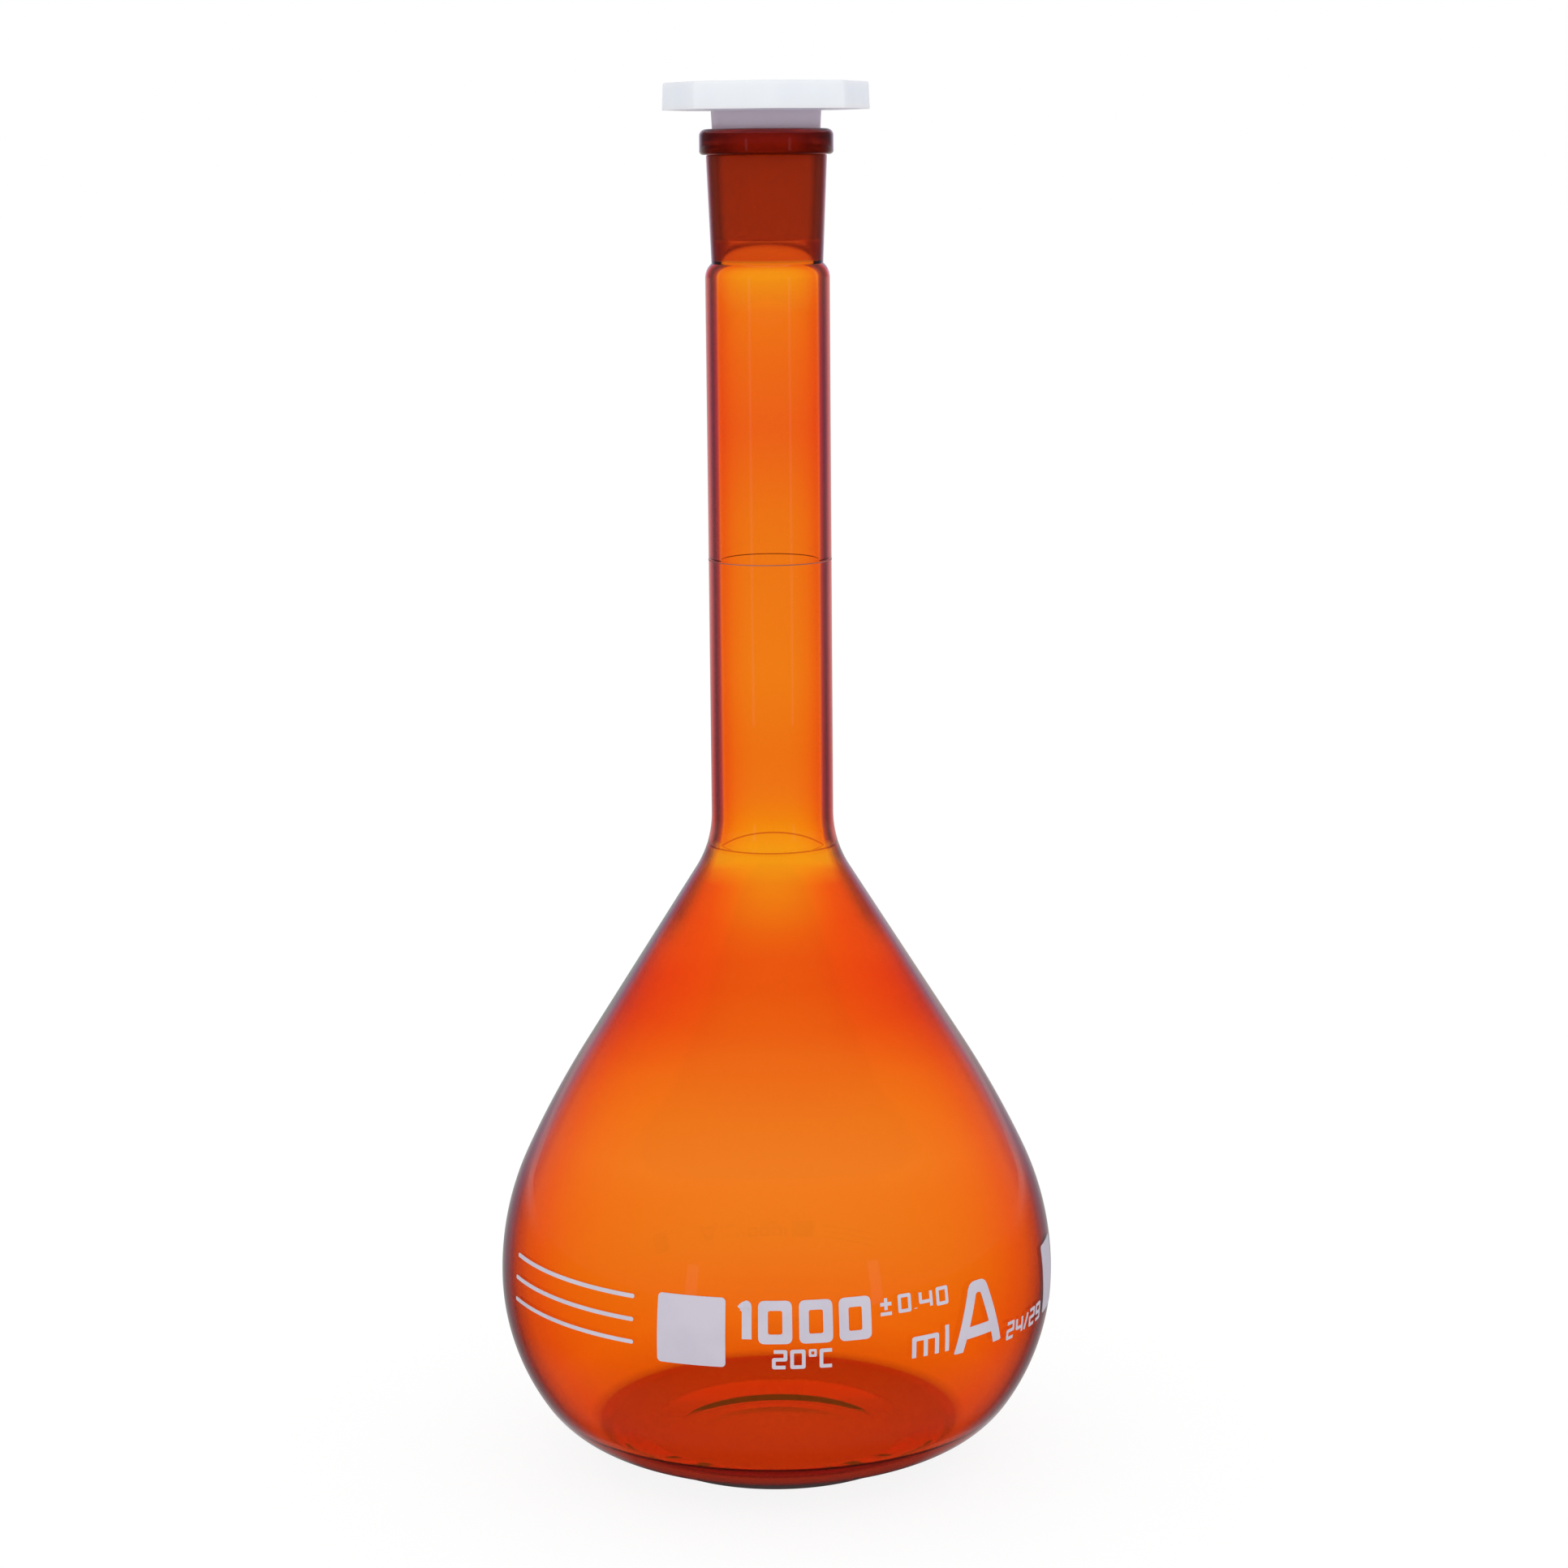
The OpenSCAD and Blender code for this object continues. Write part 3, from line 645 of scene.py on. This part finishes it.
def makeAreas(material):
    for node, boxes in areas.items():
        bm = bmesh.new()
        for x, z, width, height, corner in boxes:
            made = bmesh.ops.create_grid(bm, x_segments=1, y_segments=1, size=0.5)["verts"]
            bmesh.ops.scale(bm, vec=(width * mm, height * mm, 1), verts=made)
            bmesh.ops.rotate(bm, cent=(0, 0, 0), verts=made,
                             matrix=Matrix.Rotation(math.pi / 2, 3, "X"))
            middle = Vector(((x + width / 2) * mm, 0, bulb["equator"] + (z + height / 2) * mm))
            bmesh.ops.translate(bm, vec=middle, verts=made)
            bmesh.ops.bevel(bm, geom=made, offset=corner * mm, offset_type="OFFSET", affect="VERTICES",
                            segments=cornerSteps, profile=0.5, material=-1)
        firePrint(bm, node, material)


makePrints(whiteEnamel)
makeAreas(whiteEnamel)
print("prints fired on:", len(prints) + len(areas))

# The filling line: a reddish brown stain round the neck
lineStain = dict(enamel, colour="#a4645f", thin="#8a4c47", roughness=0.4)
fillLine = {"height": 0.2 * mm, "front": 0.05 * mm, "back": -0.03 * mm}


def makeFillLine(material):
    low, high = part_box("fill_line")[0].z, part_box("fill_line")[1].z
    middle = (low + high) / 2
    inside, outside = neck["radius"] + fillLine["back"], neck["radius"] + fillLine["front"]
    bm = bmesh.new()
    first = bmesh.ops.create_vert(bm, co=(inside, 0, middle - fillLine["height"] / 2))["vert"][0]
    tip = lineTo(bm, first, outside, middle - fillLine["height"] / 2)
    tip = lineTo(bm, tip, outside, middle + fillLine["height"] / 2)
    tip = lineTo(bm, tip, inside, middle + fillLine["height"] / 2)
    bm.edges.new((tip, first))
    revolve(bm, roundSteps)
    piece = newPiece("fill_line_stain", bm, material, "line_stain", "flask", "fill_line")
    piece.data.set_sharp_from_angle(angle=sharpAngle)


makeFillLine(makeEnamel("brown_line_stain", lineStain))
print("filling line drawn")

# Pale floor: white to the camera and through the glass, with a soft shadow left on it
floorLook = {
    "size": 40.0, "colour": "#f4f4f4", "glow": 0.86, "level": 1.03, "drop": 0.03 * mm,
    # what shiny surfaces reflect of it, from straight behind them, at 0, to square to that, at 1
    "nearby": [(0.0, "#cbcbcb"), (0.23, "#a4a4a4"), (0.365, "#7c7c7c"), (0.465, "#454545"),
               (0.6, "#383838")],
    "distant": [(0.0, "#d8d8d8"), (0.25, "#d0d0d0"), (0.39, "#bcbcbc"), (0.487, "#a0a0a0"),
                (0.564, "#7c7c7c"), (0.64, "#656565"), (0.81, "#3f3f3f")],
    "reach": (0.6, 1.6),        # metres over which the one gives way to the other
    # and at least this much beside the base: distance from the axis as a share of besideReach
    "beside": [(0.28, "#000000"), (0.32, "#5a5a5a"), (0.45, "#5a5a5a"), (0.7, "#000000")],
    "besideReach": 200 * mm,
    "bodyRadius": 55 * mm,      # of the body that the lines of sight pass
}
surround = {
    "seen": 1.0, "matt": 1.0,
    # what shiny surfaces reflect: dark at the camera's end of the studio, white behind the object
    "reflected": [(0.75, "#5c5a60"), (0.875, "#6e6a74"), (0.93, "#b4aabe"), (0.97, "#e8dcf4"),
                  (1.0, "#fff8ff")],
}
softBox = {
    "turns": {"left": -34, "right": 40},        # degrees from straight in front
    "width": 0.1, "height": 0.34, "distance": 1.2, "middle": 0.17, "watts": 0.04,
}


def addSeenRays(tree):
    # rays that see the white surround itself, and those that see it reflected
    rays = addNode(tree, "ShaderNodeLightPath")
    seen = addNode(tree, "ShaderNodeMath", {
        0: rays.outputs["Is Camera Ray"], 1: rays.outputs["Is Transmission Ray"]}, operation="MAXIMUM")
    return seen.outputs[0], rays.outputs["Is Glossy Ray"]


def makeFloor():
    bm = bmesh.new()
    bmesh.ops.create_grid(bm, x_segments=1, y_segments=1, size=floorLook["size"] / 2)
    bmesh.ops.translate(bm, verts=bm.verts[:], vec=(0, 0, -floorLook["drop"]))      # clear of the glass
    mesh = bpy.data.meshes.new("floor")
    bm.to_mesh(mesh)
    bm.free()
    floor = bpy.data.objects.new("floor", mesh)
    scene.collection.objects.link(floor)
    material, tree = newMaterial("pale_floor")
    seen, reflected = addSeenRays(tree)
    # shiny surfaces reflect little of the floor in front of the object and more of it behind;
    # what counts is the direction of a line that touches the body on its way to this spot
    place = addNode(tree, "ShaderNodeTexCoord")
    aside = addNode(tree, "ShaderNodeVectorMath", {0: place.outputs["Object"]}, operation="ABSOLUTE")
    axes = addNode(tree, "ShaderNodeSeparateXYZ", {0: aside.outputs[0]})
    behind = addNode(tree, "ShaderNodeSeparateXYZ", {0: place.outputs["Object"]})
    away = addNode(tree, "ShaderNodeVectorMath", {0: place.outputs["Object"]}, operation="LENGTH")
    bearing = addNode(tree, "ShaderNodeMath", {
        0: axes.outputs["X"], 1: behind.outputs["Y"]}, operation="ARCTAN2")
    sine = addNode(tree, "ShaderNodeMath", {
        0: floorLook["bodyRadius"], 1: away.outputs["Value"]}, operation="DIVIDE")
    offset = addNode(tree, "ShaderNodeMath", {0: sine.outputs[0]}, operation="ARCSINE")
    turn = addNode(tree, "ShaderNodeMath", {
        0: bearing.outputs[0], 1: offset.outputs[0]}, operation="SUBTRACT")
    quarter = addNode(tree, "ShaderNodeMapRange", {"Value": turn.outputs[0], "From Max": math.pi / 2})
    nearby = addNode(tree, "ShaderNodeValToRGB", {0: quarter.outputs[0]})
    fillRamp(nearby, floorLook["nearby"])
    distant = addNode(tree, "ShaderNodeValToRGB", {0: quarter.outputs[0]})
    fillRamp(distant, floorLook["distant"])
    far = addNode(tree, "ShaderNodeMapRange", {
        "Value": away.outputs["Value"],
        "From Min": floorLook["reach"][0], "From Max": floorLook["reach"][1]})
    mirrored = addNode(tree, "ShaderNodeMix", {
        0: far.outputs[0], 6: nearby.outputs[0], 7: distant.outputs[0]}, data_type="RGBA")
    near = addNode(tree, "ShaderNodeMapRange", {
        "Value": away.outputs["Value"], "From Max": floorLook["besideReach"]})
    beside = addNode(tree, "ShaderNodeValToRGB", {0: near.outputs[0]})
    fillRamp(beside, floorLook["beside"])
    lighter = addNode(tree, "ShaderNodeMix", {
        0: 1.0, 6: mirrored.outputs[2], 7: beside.outputs[0]}, data_type="RGBA", blend_type="LIGHTEN")
    direct = addNode(tree, "ShaderNodeMath", {0: seen, 1: floorLook["level"]}, operation="MULTIPLY")
    white = addNode(tree, "ShaderNodeMath", {
        0: direct.outputs[0], 1: lighter.outputs[2]}, operation="MAXIMUM")
    share = addNode(tree, "ShaderNodeMath", {
        0: seen, 1: floorLook["glow"], 2: reflected}, operation="MULTIPLY_ADD")
    matt = addNode(tree, "ShaderNodeBsdfDiffuse", {"Color": toLinear(floorLook["colour"])})
    glow = addNode(tree, "ShaderNodeEmission", {
        "Color": toLinear("#ffffff"), "Strength": white.outputs[0]})
    both = addNode(tree, "ShaderNodeMixShader", {
        0: share.outputs[0], 1: matt.outputs[0], 2: glow.outputs[0]})
    addNode(tree, "ShaderNodeOutputMaterial", {"Surface": both.outputs[0]})
    mesh.materials.append(material)


# Studio light: a white surround that shiny surfaces see as darker in front, and two tall soft boxes
def makeLight():
    world = bpy.data.worlds.new("white_surround")
    world.use_nodes = True
    tree = world.node_tree
    tree.nodes.clear()
    seen, reflected = addSeenRays(tree)
    place = addNode(tree, "ShaderNodeTexCoord")
    axes = addNode(tree, "ShaderNodeSeparateXYZ", {0: place.outputs["Generated"]})
    behind = addNode(tree, "ShaderNodeMapRange", {
        "Value": axes.outputs["Y"], "From Min": -1.0, "From Max": 1.0})
    mirrored = addNode(tree, "ShaderNodeValToRGB", {0: behind.outputs[0]})
    fillRamp(mirrored, surround["reflected"])
    matt = addNode(tree, "ShaderNodeMix", {
        0: reflected, 6: (surround["matt"],) * 3 + (1,), 7: mirrored.outputs[0]}, data_type="RGBA")
    level = addNode(tree, "ShaderNodeMix", {
        0: seen, 6: matt.outputs[2], 7: (surround["seen"],) * 3 + (1,)}, data_type="RGBA")
    back = addNode(tree, "ShaderNodeBackground", {"Color": level.outputs[2], "Strength": 1.0})
    addNode(tree, "ShaderNodeOutputWorld", {"Surface": back.outputs[0]})
    scene.world = world
    for side, degrees in softBox["turns"].items():
        lamp = bpy.data.lights.new("soft_box_" + side, "AREA")
        lamp.shape = "RECTANGLE"
        lamp.size, lamp.size_y = softBox["width"], softBox["height"]
        lamp.energy = softBox["watts"]
        holder = bpy.data.objects.new("soft_box_" + side, lamp)
        turn, far = math.radians(degrees), softBox["distance"]
        holder.location = (far * math.sin(turn), -far * math.cos(turn), softBox["middle"])
        holder.rotation_euler = (math.pi / 2, 0, turn)
        holder.visible_transmission = False     # so that its shape is not seen through the glass
        scene.collection.objects.link(holder)


# Camera: 81 mm lens, nearly level with the rim and tipped down by ten degrees
viewpoint = {
    "lens": 81.06, "sensor": 36, "pitch": 10.0, "roll": -0.5,
    "aside": 2.65 * mm, "distance": 783 * mm, "height": 292.9 * mm,
}


def makeCamera():
    lens = bpy.data.cameras.new("camera")
    lens.lens, lens.sensor_width = viewpoint["lens"], viewpoint["sensor"]
    holder = bpy.data.objects.new("camera", lens)
    holder.location = (viewpoint["aside"], -viewpoint["distance"], viewpoint["height"])
    tipped = Matrix.Rotation(math.radians(90 - viewpoint["pitch"]), 3, "X")
    rolled = Matrix.Rotation(math.radians(viewpoint["roll"]), 3, "Z")
    holder.rotation_euler = (tipped @ rolled).to_euler()
    scene.collection.objects.link(holder)
    scene.camera = holder


makeFloor()
makeLight()
makeCamera()
scene.view_settings.view_transform = "Standard"
# light crosses many walls of glass on its way
scene.cycles.max_bounces = 24
scene.cycles.transmission_bounces = 24
scene.cycles.glossy_bounces = 12
print("stage, light and camera set")
